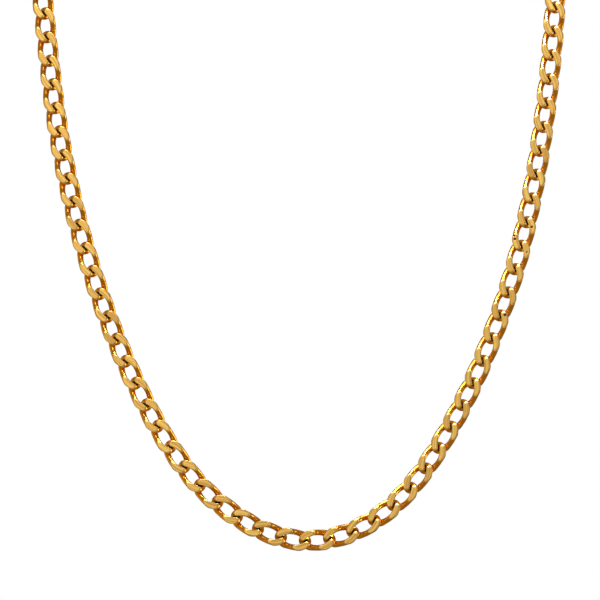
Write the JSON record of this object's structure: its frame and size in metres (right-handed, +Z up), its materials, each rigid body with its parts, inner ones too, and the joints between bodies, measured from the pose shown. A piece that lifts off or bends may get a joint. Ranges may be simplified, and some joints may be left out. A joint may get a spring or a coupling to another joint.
{
  "type": "curb chain necklace",
  "caption": "Open curb chain necklace of twisted links filed flat on both faces. A closed loop that hangs as a U in front and fastens at the nape with a plain barrel clasp.",
  "frame": {"origin": "underside of the barrel clasp, where it rests on the nape", "axes": "+Z up, the front of the necklace faces -Y and hangs below the origin, +X towards the right of the picture"},
  "size_m": [0.1366, 0.0902, 0.2001],
  "materials": {
    "gold_plate": "polished gold plate, filed faces satin"
  },
  "bodies": {
    "root": {"chain_left": "gold_plate", "chain_right": "gold_plate", "clasp": "gold_plate"}
  },
  "joints": []
}
